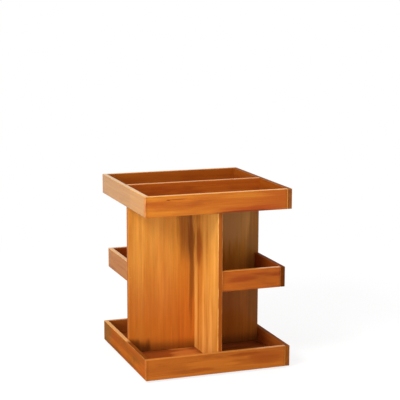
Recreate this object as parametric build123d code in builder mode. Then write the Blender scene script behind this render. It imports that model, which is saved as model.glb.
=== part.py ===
"""Rotating make-up organizer: a square base tray and a square top tray joined by crossed upright
partitions, two corner shelves half-way up, and a ball-bearing turntable under the base floor.

Millimetres. X runs along the front, Y to the back and Z up. The origin is on the turning axis,
at the surface that the organizer stands on.
"""
import os
from math import cos, radians, sin, sqrt, tan

from build123d import *

# Boards
width = 240.0
board = 7.0
panel = 3.5
arris = 0.8

# Heights
pad_height = 2.0
turntable_height = 7.5
skirt = 6.5
base_rim_height = 33.5
partition_height = 249.0
top_lip = 4.0
top_rim_height = 32.0
shelf_rise = 119.0
shelf_lip = 3.0
shelf_rim_height = 32.5

# Joints between boards
groove_depth = 2.5
groove_play = 0.2
housing_depth = 2.0
housing_play = 0.05
pin_radius = 0.7
pin_length = 20.0
pin_head_radius = 1.1
pin_head_depth = 1.0
pin_play = 0.05
pin_inset = 7.0
edge_pin_pitch = 30.0
edge_pin_count = 3
dowel_radius = 2.0
dowel_bite = 8.0
dowel_hole_wall = 2.2
dowel_play = 0.05
dowel_end_gap = 0.3
dowel_chamfer = 0.5
dowel_inset = 30.0

# Wood screws through the tray floors into the partitions
screw_radius = 1.6
screw_head_radius = 3.1
screw_length = 26.0
screw_tip = 4.0
screw_point_radius = 0.4
countersink_angle = 90.0
screw_play = 0.05
inner_screw_reach = 45.0
outer_screw_reach = 100.0
recess_span = 3.2
recess_width = 0.8
recess_depth = 1.0

# Turntable
gauge = 1.2
step_slope = 45.0
ball_radius = 2.0
ball_count = 20
race_radius = 50.0
race_play = 0.15
cage_width = 11.0
cage_thickness = 1.5
cage_clearance = 0.4
pocket_play = 0.15
hub_radius = 17.0
race_land = 10.0
outer_pad_width = 12.6
ring_hole_radius = 2.1
access_hole_radius = 5.0
ring_hole_count = 4
rivet_radius = 5.0
rivet_wall = 1.5
rivet_flange_radius = 9.0
rivet_flange_thickness = 1.0
pivot_play = 0.05
washer_radius = 12.0
plate_screw_radius = 1.5
plate_screw_bite = 2.8
plate_screw_head_radius = 3.6
plate_screw_head_height = 2.0
plate_screw_rounding = 0.9
pad_radius = 6.0
pad_chamfer = 0.6
stem_play = 0.05
barb_overhang = 0.7
barb_height = 1.2

# Levels and faces that follow from them
half = width / 2
inner = half - board
floor_bottom = pad_height + turntable_height
floor_top = floor_bottom + panel
base_bottom = floor_bottom - skirt
top_floor_bottom = floor_top + partition_height
top_floor_top = top_floor_bottom + panel
top_bottom = top_floor_bottom - top_lip
top_top = top_bottom + top_rim_height
shelf_bottom = floor_top + shelf_rise
shelf_floor_bottom = shelf_bottom + shelf_lip
shelf_top = shelf_bottom + shelf_rim_height
groove_height = panel + groove_play
groove_reach = inner + groove_depth
panel_reach = groove_reach - groove_play
board_centre = half - board / 2
shelf_board_centre = inner - board / 2
shelf_inner = inner - board
shelf_groove_reach = shelf_inner + groove_depth
shelf_panel_reach = shelf_groove_reach - groove_play
dowel_hole_depth = board - dowel_hole_wall
screw_head_height = (screw_head_radius - screw_radius) / tan(radians(countersink_angle / 2))

# The turntable's section, measured down from each plate's mounting face and out from the axis
flange_gap = cage_thickness + 2 * cage_clearance
rise = (turntable_height - flange_gap) / 2 - gauge
step_run = rise / tan(radians(step_slope))
ball_drop = turntable_height / 2
race_inside = ball_radius + race_play
race_outside = race_inside + gauge
bend_shift = gauge * tan(radians(step_slope / 2))
bore_radius = rivet_radius + pivot_play
inner_pad_radius = race_radius - race_land - step_run
outer_step_radius = race_radius + race_land
plate_radius = outer_step_radius + step_run + outer_pad_width
ring_hole_circle = plate_radius - outer_pad_width / 2
ball_level = pad_height + ball_drop

quarter_turns = {"front": 0, "right": 90, "back": 180, "left": 270}
shelf_turns = {"right_shelf": 0, "left_shelf": 180}
hanging = (Align.CENTER, Align.CENTER, Align.MAX)
standing = (Align.CENTER, Align.CENTER, Align.MIN)


def finish(piece: BuildPart, name: str) -> None:
    """Label a finished piece and write its file."""
    piece.part.label = name
    export_step(piece.part, f"parts/{name}.step")


def level_plane(height: float, turn: float = 0.0) -> Plane:
    """A level plane at a height, turned about the upright axis."""
    return Plane.XY.offset(height).rotated((0, 0, turn))


def face_plane(turn: float, distance: float) -> Plane:
    """An upright plane at a distance from the axis that looks outwards: turn 0 looks to the front.

    Its x runs along the face, its y is the height above the ground.
    """
    a = radians(turn)
    return Plane(
        origin=(distance * sin(a), -distance * cos(a), 0),
        x_dir=(cos(a), sin(a), 0),
        z_dir=(sin(a), -cos(a), 0),
    )


def rectangle(x_low: float, x_high: float, y_low: float, y_high: float) -> None:
    """A rectangle between its low and high sides in the current sketch."""
    with Locations(((x_low + x_high) / 2, (y_low + y_high) / 2)):
        Rectangle(x_high - x_low, y_high - y_low)


def eased_board(plane: Plane, sides: tuple, height: float) -> None:
    """A board with every edge rounded by hand, standing on a level plane."""
    with BuildSketch(plane) as section:
        rectangle(*sides)
    block = extrude(section.sketch, amount=height)
    fillet(block.edges(), arris)


def groove(plane: Plane, sides: tuple, height: float = groove_height) -> None:
    """A groove that takes the edge of a panel or of a board."""
    with BuildSketch(plane) as section:
        rectangle(*sides)
    extrude(section.sketch, amount=height, mode=Mode.SUBTRACT)


def pins(sites: list, play: float = 0.0, mode: Mode = Mode.ADD) -> None:
    """Panel pins with their heads flush with a face, or with play the holes that they fill."""
    for plane, points in sites:
        with BuildSketch(plane) as heads:
            with Locations(*points):
                Circle(pin_head_radius + play)
        extrude(heads.sketch, amount=-(pin_head_depth + play), mode=mode)
        with BuildSketch(plane) as shanks:
            with Locations(*points):
                Circle(pin_radius + play)
        extrude(shanks.sketch, amount=-(pin_length + play), mode=mode)


def pin_holes(sites: list) -> None:
    """The holes that panel pins fill."""
    pins(sites, play=pin_play, mode=Mode.SUBTRACT)


def pin_column(along: float, bottom: float, top: float) -> list:
    """Two pins above each other, set in from the lower and the upper edge of a rim."""
    return [(along, bottom + pin_inset), (along, top - pin_inset)]


# Where the panel pins go: each site is the face that the heads lie in and their places on it


def corner_sites(bottom: float, height: float) -> list:
    """The pins that hold the four butt joints of a tray."""
    return [
        (face_plane(turn, half), pin_column(-board_centre, bottom, bottom + height))
        for turn in quarter_turns.values()
    ]


def divider_sites() -> list:
    """The pins through the side rims into the ends of the top divider."""
    return [
        (face_plane(quarter_turns[side], half), pin_column(0.0, top_floor_top, top_top))
        for side in ("right", "left")
    ]


def long_partition_sites(turn: float) -> list:
    """The pins through the long partition into the side rim and the floor of a shelf."""
    points = pin_column(-shelf_board_centre, shelf_bottom, shelf_top)
    level = shelf_floor_bottom + panel / 2
    points += [(-edge_pin_pitch * step, level) for step in range(1, edge_pin_count + 1)]
    return [(face_plane(turn + 180, board / 2), points)]


def half_partition_sites(turn: float) -> list:
    """The pins through a half partition into the end of a shelf's rim and into its floor."""
    points = pin_column(shelf_board_centre, shelf_bottom, shelf_top)
    level = shelf_floor_bottom + panel / 2
    points += [(edge_pin_pitch * step, level) for step in range(1, edge_pin_count + 1)]
    return [(face_plane(turn + 270, 0.0), points)]


def shelf_corner_sites(turn: float) -> list:
    """The pins that hold the butt joint of a shelf's two rims."""
    return [(face_plane(turn + 90, inner), pin_column(-shelf_board_centre, shelf_bottom, shelf_top))]


# Dowels and screws


def dowel_points() -> list:
    """Places of the dowels on the long partition's face, beside its centre line."""
    middle = (floor_top + top_floor_bottom) / 2
    heights = (floor_top + dowel_inset, middle, top_floor_bottom - dowel_inset)
    return [(board / 2, height) for height in heights]


def dowel_holes(turn: float, depth: float) -> None:
    """Dowel holes from the face of the long partition: outwards if the depth is positive."""
    with BuildSketch(face_plane(turn, board / 2)) as holes:
        with Locations(*dowel_points()):
            Circle(dowel_radius + dowel_play)
    extrude(holes.sketch, amount=depth, mode=Mode.SUBTRACT)


def screw_places() -> list:
    """Places in plan of the wood screws, along the long partition and the two half partitions."""
    reaches = (inner_screw_reach, outer_screw_reach)
    along = [(sign * reach, 0.0) for sign in (-1, 1) for reach in reaches]
    across = [(-sign * board / 2, sign * reach) for sign in (-1, 1) for reach in reaches]
    return along + across


base_screw_sites = [Location((x, y, floor_bottom), (180, 0, 0)) for x, y in screw_places()]
top_screw_sites = [Location((x, y, top_floor_top)) for x, y in screw_places()]


def screw_holes(sites: list) -> None:
    """Countersunk holes for the wood screws."""
    with Locations(*sites):
        CounterSinkHole(
            radius=screw_radius + screw_play,
            counter_sink_radius=screw_head_radius + screw_play,
            depth=screw_length + screw_play,
            counter_sink_angle=countersink_angle,
        )


def cross_recess(sites: list) -> None:
    """The crossed recess in a row of screw heads."""
    with Locations(*sites):
        Box(recess_span, recess_width, recess_depth, align=hanging, mode=Mode.SUBTRACT)
        Box(recess_width, recess_span, recess_depth, align=hanging, mode=Mode.SUBTRACT)


def wood_screws(sites: list) -> None:
    """Countersunk wood screws with their heads flush with the floor."""
    with Locations(*sites):
        Cone(screw_radius, screw_head_radius, screw_head_height, align=hanging)
        Cylinder(screw_radius, screw_length - screw_tip, align=hanging)
        with Locations((0, 0, screw_tip - screw_length)):
            Cone(screw_point_radius, screw_radius, screw_tip, align=hanging)
    cross_recess(sites)


def ring_places(start: float) -> list:
    """Places in plan on the hole circle of the turntable plates."""
    angles = [radians(start + 360 / ring_hole_count * step) for step in range(ring_hole_count)]
    return [(ring_hole_circle * cos(a), ring_hole_circle * sin(a)) for a in angles]


foot_places = ring_places(180 / ring_hole_count)
plate_screw_level = floor_bottom - gauge
plate_screw_sites = [Location((x, y, plate_screw_level), (180, 0, 0)) for x, y in foot_places]


# Trays


def rim_board(turn: float, bottom: float, height: float, panel_level: float) -> None:
    """One of a tray's four equal rims: one end covers its neighbour, the other butts on the next."""
    eased_board(level_plane(bottom, turn), (-half, inner, -half, -inner), height)
    groove(level_plane(panel_level, turn), (-groove_reach, inner, -groove_reach, -inner))
    pin_holes(corner_sites(bottom, height))


def divider_housing(turn: float) -> None:
    """The housing in a side rim that takes the end of the top divider."""
    slot = board / 2 + housing_play
    depth = inner + housing_depth
    groove(level_plane(top_floor_top, turn), (-slot, slot, -depth, -inner), top_rim_height)


def tray_floor(bottom: float) -> None:
    """A tray's floor panel, with its edges in the grooves of the rims."""
    with BuildSketch(level_plane(bottom)) as outline:
        Rectangle(2 * panel_reach, 2 * panel_reach)
    extrude(outline.sketch, amount=panel)


os.makedirs("parts", exist_ok=True)

for side, turn in quarter_turns.items():
    with BuildPart() as base_rim:
        rim_board(turn, base_bottom, base_rim_height, floor_bottom)
    finish(base_rim, f"base_rim_{side}")

for side, turn in quarter_turns.items():
    with BuildPart() as top_rim:
        rim_board(turn, top_bottom, top_rim_height, top_floor_bottom)
        if side in ("right", "left"):
            divider_housing(turn)
            pin_holes(divider_sites())
    finish(top_rim, f"top_rim_{side}")

with BuildPart() as base_floor:
    tray_floor(floor_bottom)
    screw_holes(base_screw_sites)
    with Locations(*plate_screw_sites):
        Hole(plate_screw_radius + screw_play, depth=gauge + plate_screw_bite + screw_play)
finish(base_floor, "base_floor")

with BuildPart() as top_floor:
    tray_floor(top_floor_bottom)
    screw_holes(top_screw_sites)
finish(top_floor, "top_floor")

with BuildPart() as top_divider:
    divider_reach = inner + housing_depth - housing_play
    divider_sides = (-divider_reach, divider_reach, -board / 2, board / 2)
    eased_board(level_plane(top_floor_top), divider_sides, top_top - top_floor_top)
    pin_holes(divider_sites())
finish(top_divider, "top_divider")

# Crossed partitions: one long board, and a half board on each side with a face on the centre line

with BuildPart() as long_partition:
    eased_board(level_plane(floor_top), (-inner, inner, -board / 2, board / 2), partition_height)
    screw_holes(base_screw_sites + top_screw_sites)
    for turn in shelf_turns.values():
        dowel_holes(turn, -dowel_hole_depth)
        pin_holes(long_partition_sites(turn))
finish(long_partition, "long_partition")

for name, turn in {"front_partition": 0, "rear_partition": 180}.items():
    with BuildPart() as half_partition:
        eased_board(level_plane(floor_top, turn), (0.0, board, -inner, -board / 2), partition_height)
        screw_holes(base_screw_sites + top_screw_sites)
        dowel_holes(turn, dowel_bite)
        pin_holes(half_partition_sites(turn))
    finish(half_partition, name)

# Corner shelves: a rim along the front or back, a rim along the side and a floor

for shelf, turn in shelf_turns.items():
    rim_plane = level_plane(shelf_bottom, turn)
    floor_plane = level_plane(shelf_floor_bottom, turn)

    with BuildPart() as long_rim:
        eased_board(rim_plane, (board, shelf_inner, -inner, -shelf_inner), shelf_rim_height)
        groove(floor_plane, (board, shelf_inner, -shelf_groove_reach, -shelf_inner))
        pin_holes(half_partition_sites(turn) + shelf_corner_sites(turn))
    finish(long_rim, "right_shelf_front_rim" if shelf == "right_shelf" else "left_shelf_back_rim")

    with BuildPart() as side_rim:
        eased_board(rim_plane, (shelf_inner, inner, -inner, -board / 2), shelf_rim_height)
        groove(floor_plane, (shelf_inner, shelf_groove_reach, -shelf_groove_reach, -board / 2))
        pin_holes(long_partition_sites(turn) + shelf_corner_sites(turn))
    finish(side_rim, f"{shelf}_side_rim")

    with BuildPart() as shelf_floor:
        with BuildSketch(floor_plane):
            rectangle(board, shelf_panel_reach, -shelf_panel_reach, -board / 2)
        extrude(amount=panel)
        pin_holes(half_partition_sites(turn) + long_partition_sites(turn))
    finish(shelf_floor, f"{shelf}_floor")

# Pins, dowels and wood screws

with BuildPart() as base_rim_pins:
    pins(corner_sites(base_bottom, base_rim_height))
finish(base_rim_pins, "base_rim_pins")

with BuildPart() as top_rim_pins:
    pins(corner_sites(top_bottom, top_rim_height) + divider_sites())
finish(top_rim_pins, "top_rim_pins")

for shelf, turn in shelf_turns.items():
    with BuildPart() as shelf_pins:
        pins(half_partition_sites(turn) + long_partition_sites(turn) + shelf_corner_sites(turn))
    finish(shelf_pins, f"{shelf}_pins")

with BuildPart() as partition_dowels:
    for turn in shelf_turns.values():
        with BuildSketch(face_plane(turn, board / 2 - dowel_hole_depth + dowel_end_gap)):
            with Locations(*dowel_points()):
                Circle(dowel_radius)
        extrude(amount=dowel_hole_depth + dowel_bite - 2 * dowel_end_gap)
    chamfer(partition_dowels.edges().filter_by(GeomType.CIRCLE), dowel_chamfer)
finish(partition_dowels, "partition_dowels")

with BuildPart() as base_floor_screws:
    wood_screws(base_screw_sites)
finish(base_floor_screws, "base_floor_screws")

with BuildPart() as top_floor_screws:
    wood_screws(top_screw_sites)
finish(top_floor_screws, "top_floor_screws")

# Turntable: two equal pressed plates face to face, with a ring of caged balls between them


def pressed_plate(axis_plane: Plane) -> None:
    """A pressed plate, spun from its section: hub, pad, flange with the ball race, and outer pad.

    The plane's y is the turning axis: 0 at the mounting face, and up is out of the turntable.
    """
    pad_in, flange_in = -gauge, -rise - gauge
    race_in = sqrt(race_inside**2 - (ball_drop + flange_in) ** 2)
    race_out = sqrt(race_outside**2 - (ball_drop - rise) ** 2)
    with BuildSketch(axis_plane) as section:
        with BuildLine():
            Polyline(
                (bore_radius, flange_in),
                (hub_radius, flange_in),
                (hub_radius + step_run, pad_in),
                (inner_pad_radius, pad_in),
                (inner_pad_radius + step_run, flange_in),
                (race_radius - race_in, flange_in),
            )
            ThreePointArc(
                (race_radius - race_in, flange_in),
                (race_radius, race_inside - ball_drop),
                (race_radius + race_in, flange_in),
            )
            Polyline(
                (race_radius + race_in, flange_in),
                (outer_step_radius, flange_in),
                (outer_step_radius + step_run, pad_in),
                (plate_radius, pad_in),
                (plate_radius, 0),
                (outer_step_radius + step_run - bend_shift, 0),
                (outer_step_radius - bend_shift, -rise),
                (race_radius + race_out, -rise),
            )
            ThreePointArc(
                (race_radius + race_out, -rise),
                (race_radius, race_outside - ball_drop),
                (race_radius - race_out, -rise),
            )
            Polyline(
                (race_radius - race_out, -rise),
                (inner_pad_radius + step_run + bend_shift, -rise),
                (inner_pad_radius + bend_shift, 0),
                (hub_radius + step_run - bend_shift, 0),
                (hub_radius - bend_shift, -rise),
                (bore_radius, -rise),
                (bore_radius, flange_in),
            )
        make_face()
    revolve(section.sketch, axis=Axis.Z)
    with BuildSketch(Plane.XY) as holes:
        with Locations(*foot_places):
            Circle(ring_hole_radius)
        with Locations(*ring_places(0)):
            Circle(access_hole_radius)
    extrude(holes.sketch, amount=floor_bottom, mode=Mode.SUBTRACT)


with BuildPart() as turntable_top_plate:
    pressed_plate(Plane(origin=(0, 0, floor_bottom), x_dir=(1, 0, 0), z_dir=(0, -1, 0)))
finish(turntable_top_plate, "turntable_top_plate")

with BuildPart() as turntable_bottom_plate:
    pressed_plate(Plane(origin=(0, 0, pad_height), x_dir=(1, 0, 0), z_dir=(0, 1, 0)))
finish(turntable_bottom_plate, "turntable_bottom_plate")

with BuildPart() as bearing_balls:
    with Locations(level_plane(ball_level)):
        with PolarLocations(race_radius, ball_count):
            Sphere(ball_radius)
finish(bearing_balls, "bearing_balls")

with BuildPart() as ball_cage:
    with BuildSketch(level_plane(ball_level - cage_thickness / 2)):
        Circle(race_radius + cage_width / 2)
        Circle(race_radius - cage_width / 2, mode=Mode.SUBTRACT)
        with PolarLocations(race_radius, ball_count):
            Circle(ball_radius + pocket_play, mode=Mode.SUBTRACT)
    extrude(amount=cage_thickness)
finish(ball_cage, "ball_cage")

with BuildPart() as pivot_rivet:
    lower_flange = pad_height + rise
    upper_flange = floor_bottom - rise + pivot_play
    with BuildSketch(level_plane(lower_flange - rivet_flange_thickness)):
        Circle(rivet_flange_radius)
    extrude(amount=rivet_flange_thickness)
    with BuildSketch(level_plane(lower_flange)):
        Circle(rivet_radius)
    extrude(amount=upper_flange - lower_flange)
    with BuildSketch(level_plane(upper_flange)):
        Circle(rivet_flange_radius)
    extrude(amount=rivet_flange_thickness)
    with BuildSketch(level_plane(lower_flange - rivet_flange_thickness)):
        Circle(rivet_radius - rivet_wall)
    extrude(amount=upper_flange - lower_flange + 2 * rivet_flange_thickness, mode=Mode.SUBTRACT)
finish(pivot_rivet, "pivot_rivet")

with BuildPart() as pivot_washer:
    with BuildSketch(level_plane(pad_height + rise + gauge)):
        Circle(washer_radius)
        Circle(bore_radius, mode=Mode.SUBTRACT)
    extrude(amount=flange_gap - pivot_play)
finish(pivot_washer, "pivot_washer")

with BuildPart() as turntable_screws:
    with Locations(*plate_screw_sites):
        Cylinder(plate_screw_head_radius, plate_screw_head_height, align=standing)
    fillet(turntable_screws.edges().group_by(Axis.Z)[0], plate_screw_rounding)
    with Locations(*plate_screw_sites):
        Cylinder(plate_screw_radius, gauge + plate_screw_bite, align=hanging)
    cross_recess([site * Location((0, 0, plate_screw_head_height)) for site in plate_screw_sites])
finish(turntable_screws, "turntable_screws")

with BuildPart() as rubber_feet:
    with BuildSketch(level_plane(0)):
        with Locations(*foot_places):
            Circle(pad_radius)
    extrude(amount=pad_height)
    chamfer(rubber_feet.edges().group_by(Axis.Z)[0], pad_chamfer)
    with BuildSketch(level_plane(pad_height)):
        with Locations(*foot_places):
            Circle(ring_hole_radius - stem_play)
    extrude(amount=gauge + stem_play)
    with BuildSketch(level_plane(pad_height + gauge + stem_play)):
        with Locations(*foot_places):
            Circle(ring_hole_radius + barb_overhang)
    extrude(amount=barb_height)
    chamfer(rubber_feet.edges().group_by(Axis.Z)[-1], pad_chamfer)
finish(rubber_feet, "rubber_feet")
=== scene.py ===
"""Looks of a rotating make-up organizer: stained wooden trays, shelves and partitions on a turntable.

Metres. X runs along the front, Y to the back and Z up. The origin is on the turning axis, at the
surface that the organizer stands on. Wood patterns are worked out in millimetres.
"""
import logging
from dataclasses import dataclass, replace
from enum import Enum
from math import cos, pi, radians, sin
from typing import Any, Optional, Union

import bmesh
import bpy
from mathutils import Matrix, Vector


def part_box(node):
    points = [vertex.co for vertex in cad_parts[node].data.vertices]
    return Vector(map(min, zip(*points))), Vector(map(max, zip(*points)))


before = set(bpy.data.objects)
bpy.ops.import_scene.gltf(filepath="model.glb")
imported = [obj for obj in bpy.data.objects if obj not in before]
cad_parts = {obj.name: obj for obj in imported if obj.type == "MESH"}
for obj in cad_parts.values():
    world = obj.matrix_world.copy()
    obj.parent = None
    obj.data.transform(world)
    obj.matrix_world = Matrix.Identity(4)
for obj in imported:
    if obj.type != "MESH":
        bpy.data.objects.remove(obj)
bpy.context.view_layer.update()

log = logging.getLogger("organizer")

MM = 1000.0  # millimetres in a metre

Colour = tuple[float, float, float]
Triple = tuple[float, float, float]
Span = tuple[float, float]

WHITE: Colour = (1.0, 1.0, 1.0)


def tone(red: int, green: int, blue: int) -> Colour:
    """Turn a colour as a paint card gives it, 0 to 255, into the linear colour that shaders use.

    Args:
        red: The card's red.
        green: The card's green.
        blue: The card's blue.

    Returns:
        The linear red, green and blue.
    """
    def linear(level: int) -> float:
        """Undo the display curve for one channel."""
        share = level / 255
        return share / 12.92 if share <= 0.04045 else ((share + 0.055) / 1.055) ** 2.4

    return linear(red), linear(green), linear(blue)


# Shader maths


class Signal:
    """A node's output that varies over a surface, with arithmetic that adds Math nodes."""

    def __init__(self, graph: "Graph", socket: Optional[bpy.types.NodeSocket]) -> None:
        """Keep the graph that the output belongs to."""
        self.graph = graph
        self.socket = socket

    def __add__(self, other: "Operand") -> "Signal":
        """Add."""
        return self.graph.math("ADD", self, other)

    def __sub__(self, other: "Operand") -> "Signal":
        """Subtract."""
        return self.graph.math("SUBTRACT", self, other)

    def __rsub__(self, other: "Operand") -> "Signal":
        """Subtract from a number."""
        return self.graph.math("SUBTRACT", other, self)

    def __mul__(self, other: "Operand") -> "Signal":
        """Multiply."""
        return self.graph.math("MULTIPLY", self, other)

    def __truediv__(self, other: "Operand") -> "Signal":
        """Divide."""
        return self.graph.math("DIVIDE", self, other)

    def __abs__(self) -> "Signal":
        """Distance from zero."""
        return self.graph.math("ABSOLUTE", self)

    __radd__ = __add__
    __rmul__ = __mul__

    def least(self, other: "Operand") -> "Signal":
        """The smaller of two."""
        return self.graph.math("MINIMUM", self, other)

    def most(self, other: "Operand") -> "Signal":
        """The larger of two."""
        return self.graph.math("MAXIMUM", self, other)

    def step(self, low: float, high: float) -> "Signal":
        """Rise smoothly from 0 at low to 1 at high.

        Args:
            low: The value that gives 0.
            high: The value that gives 1; below low, the step falls instead.

        Returns:
            The step, between 0 and 1.
        """
        settings = {"interpolation_type": "SMOOTHSTEP"}
        inputs = {"Value": self, "From Min": low, "From Max": high}
        if high < low:
            inputs = {"Value": self, "From Min": high, "From Max": low, "To Min": 1.0, "To Max": 0.0}
        return self.graph.node("ShaderNodeMapRange", settings, inputs)


Operand = Union[Signal, float]


class Graph:
    """The nodes of one material."""

    def __init__(self, tree: bpy.types.NodeTree) -> None:
        """Start from an empty tree."""
        self.tree = tree
        self.tree.nodes.clear()

    def node(
        self,
        kind: str,
        settings: Optional[dict[str, Any]] = None,
        inputs: Optional[dict[Union[str, int], Any]] = None,
        output: Union[str, int] = 0,
    ) -> Signal:
        """Add any node.

        Args:
            kind: The node's type.
            settings: Its settings, which are set first.
            inputs: Values or signals for its sockets, by name or number.
            output: The output that is returned.

        Returns:
            The output as a signal.
        """
        made = self.tree.nodes.new(kind)
        for name, value in (settings or {}).items():
            setattr(made, name, value)
        for name, value in (inputs or {}).items():
            socket = made.inputs[name]
            if isinstance(value, Signal):
                self.tree.links.new(value.socket, socket)
            elif socket.type == "RGBA" and len(value) == 3:
                socket.default_value = (*value, 1.0)
            else:
                socket.default_value = value
        return Signal(self, made.outputs[output] if len(made.outputs) else None)

    def math(self, operation: str, *operands: Operand) -> Signal:
        """Combine numbers and signals with one Math node."""
        return self.node("ShaderNodeMath", {"operation": operation}, dict(enumerate(operands)))

    def vector(self, operation: str, *operands: Any) -> Signal:
        """Combine vectors with one Vector Math node."""
        return self.node("ShaderNodeVectorMath", {"operation": operation}, dict(enumerate(operands)))

    def blend(self, factor: Operand, first: Any, second: Any) -> Signal:
        """Mix two colours.

        Args:
            factor: How much of the second colour, 0 to 1.
            first: The first colour.
            second: The second colour.

        Returns:
            The mixed colour.
        """
        settings = {"data_type": "RGBA", "blend_type": "MIX", "clamp_factor": True}
        return self.node("ShaderNodeMix", settings, {0: factor, 6: first, 7: second}, 2)

    def shade(self, colour: Any, level: Signal) -> Signal:
        """Make a colour lighter or darker by a factor that varies."""
        return self.node("ShaderNodeVectorMath", {"operation": "SCALE"}, {0: colour, "Scale": level})

    def place(self) -> Signal:
        """The surface point in millimetres."""
        return self.stretched(self.node("ShaderNodeTexCoord", output="Object"), (MM, MM, MM))

    def stretched(self, point: Signal, scale: Triple) -> Signal:
        """A point with each of its numbers multiplied."""
        return self.vector("MULTIPLY", point, scale)

    def parts(self, vector: Signal) -> tuple[Signal, Signal, Signal]:
        """The x, y and z of a vector."""
        split = self.node("ShaderNodeSeparateXYZ", inputs={0: vector}).socket.node.outputs
        return Signal(self, split[0]), Signal(self, split[1]), Signal(self, split[2])

    def radius(self, x: Signal, y: Signal) -> Signal:
        """The distance of a point in a plane from its origin."""
        return self.math("SQRT", x * x + y * y)

    def noise(self, where: Signal, detail: float = 2.0, rough: float = 0.5, scale: float = 1.0) -> Signal:
        """Cloudy variation around 0.5.

        Args:
            where: The point that it is looked up at.
            detail: How many finer layers it has.
            rough: How strong the finer layers are.
            scale: How fine it is.

        Returns:
            The noise, between 0 and 1.
        """
        inputs = {"Vector": where, "Scale": scale, "Detail": detail, "Roughness": rough}
        return self.node("ShaderNodeTexNoise", inputs=inputs)

    def bump(self, height: Signal, depth: float) -> Signal:
        """Relief of a height that varies from 0 to 1, with its depth in metres."""
        return self.node("ShaderNodeBump", inputs={"Height": height, "Distance": depth, "Strength": 1.0})

    def surface(self, **sockets: Any) -> None:
        """End the graph in a Principled shader.

        Args:
            **sockets: Values or signals for its sockets, with their names written with underscores.
        """
        inputs = {name.replace("_", " "): value for name, value in sockets.items()}
        shader = self.node("ShaderNodeBsdfPrincipled", inputs=inputs)
        self.node("ShaderNodeOutputMaterial", inputs={"Surface": shader})

    def diffuse(self, colour: Any) -> Signal:
        """A matt shader."""
        return self.node("ShaderNodeBsdfDiffuse", inputs={"Color": colour})

    def glow(self, strength: float) -> Signal:
        """A shader that gives off white light."""
        return self.node("ShaderNodeEmission", inputs={"Color": WHITE, "Strength": strength})

    def mix(self, factor: Operand, first: Signal, second: Signal) -> Signal:
        """Mix two shaders, with a factor of how much of the second."""
        return self.node("ShaderNodeMixShader", inputs={0: factor, 1: first, 2: second})


def new_graph(name: str) -> tuple[bpy.types.Material, Graph]:
    """Make a material with an empty graph.

    Args:
        name: What the material is called.

    Returns:
        The material and its graph.
    """
    material = bpy.data.materials.new(name)
    material.use_nodes = True
    return material, Graph(material.node_tree)


def paint(node: str, material: bpy.types.Material) -> None:
    """Give a piece of the frame its material.

    Args:
        node: The piece's name.
        material: Its material.
    """
    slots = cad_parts[node].data.materials
    slots.clear()
    slots.append(material)
    log.info("dressed %s in %s", node, material.name)


# Wood


class Way(Enum):
    """A direction of the organizer that a board's grain or face follows."""

    ACROSS = 0
    DEEP = 1
    UP = 2


class Cut(Enum):
    """How a board was sawn: where the tree's heart lies from the board's middle, in millimetres.

    The values are the distance along the board's width, then through its thickness.
    """

    PLAIN = (7.0, 34.0)
    RIFT = (46.0, 30.0)
    QUARTER = (88.0, 9.0)


class Flank(Enum):
    """How a board's narrow sides look: rubbed light, partly wear and partly painted highlight; like its
    faces; or dark, with soaked-in stain or painted shade.
    """

    RUBBED_AND_HIGHLIT = "rubbed"
    PLAIN = "plain"
    DARK = "dark"


@dataclass(frozen=True)
class Stain:
    """The colours that one stain gives to the wood under it. The worn tone is also painted as highlight
    on edges and rim tops, and the soaked tone also as shade.
    """

    light: Colour
    body: Colour
    dark: Colour
    red: Colour
    worn: Colour
    soaked: Colour


def mixed(**cards: tuple[int, int, int]) -> Stain:
    """Mix a stain from the cards of its colours."""
    return Stain(**{name: tone(*card) for name, card in cards.items()})


AMBER = mixed(
    light=(217, 133, 40), body=(201, 112, 29), dark=(146, 66, 18),
    red=(174, 72, 18), worn=(252, 178, 76), soaked=(140, 82, 58),
)
TAN = mixed(
    light=(202, 138, 46), body=(193, 127, 38), dark=(160, 94, 28),
    red=(184, 110, 32), worn=(240, 178, 80), soaked=(140, 78, 30),
)
RUSSET = mixed(
    light=(196, 104, 31), body=(182, 91, 25), dark=(126, 50, 16),
    red=(146, 50, 16), worn=(226, 148, 62), soaked=(112, 52, 20),
)
FAWN = mixed(
    light=(192, 122, 42), body=(178, 106, 34), dark=(144, 78, 26),
    red=(166, 84, 28), worn=(252, 192, 112), soaked=(124, 66, 26),
)
CHESTNUT = mixed(
    light=(206, 117, 40), body=(188, 101, 34), dark=(138, 67, 24),
    red=(165, 77, 26), worn=(214, 138, 62), soaked=(122, 62, 24),
)
DRAB = mixed(
    light=(190, 101, 28), body=(169, 86, 24), dark=(132, 80, 22),
    red=(172, 76, 24), worn=(252, 182, 98), soaked=(122, 64, 22),
)
HONEY = mixed(
    light=(243, 176, 84), body=(219, 145, 56), dark=(164, 84, 22),
    red=(176, 76, 18), worn=(246, 178, 90), soaked=(150, 62, 8),
)
GOLD = mixed(
    light=(230, 158, 64), body=(212, 136, 46), dark=(160, 80, 22),
    red=(182, 89, 24), worn=(238, 166, 74), soaked=(164, 84, 22),
)
UMBER = mixed(
    light=(172, 92, 34), body=(150, 74, 26), dark=(104, 48, 16),
    red=(130, 54, 20), worn=(206, 134, 78), soaked=(120, 58, 22),
)


@dataclass(frozen=True)
class Layer:
    """Noise drawn out along a board's grain, with its length and breadth in millimetres.

    The offset says where in the noise it lies, so that no two layers agree, and the detail how many
    finer layers it has.
    """

    length: float
    breadth: float
    offset: float
    detail: float = 2.0


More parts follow.
